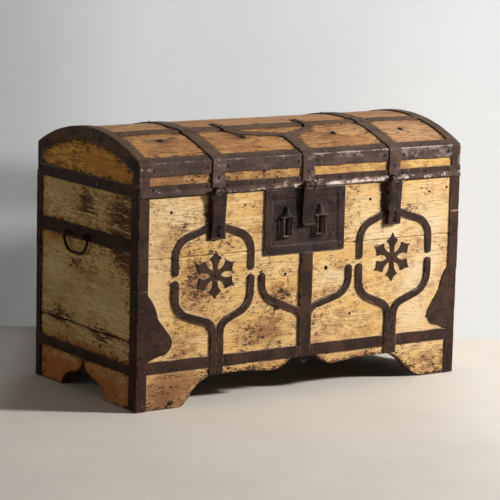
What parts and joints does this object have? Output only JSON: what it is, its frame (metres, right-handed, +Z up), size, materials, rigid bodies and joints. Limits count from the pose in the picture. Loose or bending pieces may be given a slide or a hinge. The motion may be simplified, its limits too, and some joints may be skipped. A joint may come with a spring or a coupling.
{
  "type": "iron-bound chest",
  "caption": "Dome-lidded wooden chest bound with forged iron strapwork, with a hinged lid, swinging hasps, a lock plate and drop handles on the ends.",
  "frame": {"origin": "middle of the footprint, on the floor", "axes": "+X along the front to the right, the front faces -Y, +Z up"},
  "size_m": [1.238, 0.648, 0.8168],
  "materials": {
    "front_wood": "worn pale ochre paint over softwood",
    "end_wood": "worn olive brown paint over softwood",
    "plain_wood": "bare aged softwood",
    "lid_wood": "bare orange brown softwood",
    "strap_iron": "forged, dark brown patina",
    "lock_iron": "forged, dark grey patina",
    "lid_iron": "forged, worn bright on the arrises",
    "fitting_iron": "forged, rubbed"
  },
  "bodies": {
    "carcass": {"front_lower_board": "front_wood", "front_upper_board": "front_wood", "left_end_lower_board": "end_wood", "left_end_upper_board": "end_wood", "right_end_lower_board": "end_wood", "right_end_upper_board": "end_wood", "back_lower_board": "plain_wood", "back_upper_board": "plain_wood", "floor_front_board": "plain_wood", "floor_back_board": "plain_wood", "front_left_corner_iron": "strap_iron", "front_right_corner_iron": "strap_iron", "back_left_corner_iron": "strap_iron", "back_right_corner_iron": "strap_iron", "front_lower_strap": "strap_iron", "left_lower_strap": "strap_iron", "left_mid_strap": "strap_iron", "right_lower_strap": "strap_iron", "right_mid_strap": "strap_iron", "left_lower_scroll": "strap_iron", "left_upper_scroll": "strap_iron", "left_rosette": "strap_iron", "right_lower_scroll": "strap_iron", "right_upper_scroll": "strap_iron", "right_rosette": "strap_iron", "centre_anchor": "strap_iron", "left_hinge_leaf": "strap_iron", "right_hinge_leaf": "strap_iron", "lock_plate": "lock_iron", "key_guards": "lock_iron", "hinge_pins": "fitting_iron", "hasp_staples": "fitting_iron", "handle_eyes": "fitting_iron", "apron_loop": "fitting_iron", "carcass_nails": "fitting_iron"},
    "lid": {"lid_front_rail": "lid_wood", "lid_back_rail": "lid_wood", "lid_left_end": "lid_wood", "lid_right_end": "lid_wood", "front_stave": "lid_wood", "crown_stave": "lid_wood", "back_stave": "lid_wood", "lid_front_rim": "lid_iron", "lid_left_rim": "lid_iron", "lid_right_rim": "lid_iron", "lid_left_edge_iron": "lid_iron", "lid_right_edge_iron": "lid_iron", "lid_front_arris": "lid_iron", "lid_back_arris": "lid_iron", "lid_long_strap": "lid_iron", "left_cross_strap": "lid_iron", "right_cross_strap": "lid_iron", "centre_strap": "lid_iron", "hasp_pins": "fitting_iron", "lid_nails": "fitting_iron"},
    "left_hasp": {"left_hasp": "lock_iron"},
    "centre_hasp": {"centre_hasp": "lock_iron"},
    "right_hasp": {"right_hasp": "lock_iron"},
    "left_handle": {"left_handle": "fitting_iron"},
    "right_handle": {"right_handle": "fitting_iron"}
  },
  "joints": [
    {"name": "lid_hinge", "type": "hinge", "parent": "carcass", "child": "lid", "pos_m": [0, 0.312, 0.6374], "axis": [-1, 0, 0], "range_deg": [0, 100]},
    {"name": "left_hasp_hinge", "type": "hinge", "parent": "lid", "child": "left_hasp", "pos_m": [-0.326, -0.316, 0.6478], "axis": [-1, 0, 0], "range_deg": [0, 150]},
    {"name": "centre_hasp_hinge", "type": "hinge", "parent": "lid", "child": "centre_hasp", "pos_m": [0.002, -0.316, 0.6478], "axis": [-1, 0, 0], "range_deg": [0, 150]},
    {"name": "right_hasp_hinge", "type": "hinge", "parent": "lid", "child": "right_hasp", "pos_m": [0.333, -0.316, 0.6478], "axis": [-1, 0, 0], "range_deg": [0, 150]},
    {"name": "left_handle_swing", "type": "hinge", "parent": "carcass", "child": "left_handle", "pos_m": [-0.61, 0.045, 0.484], "axis": [0, 1, 0], "range_deg": [0, 95]},
    {"name": "right_handle_swing", "type": "hinge", "parent": "carcass", "child": "right_handle", "pos_m": [0.61, 0.045, 0.484], "axis": [0, -1, 0], "range_deg": [0, 95]}
  ]
}
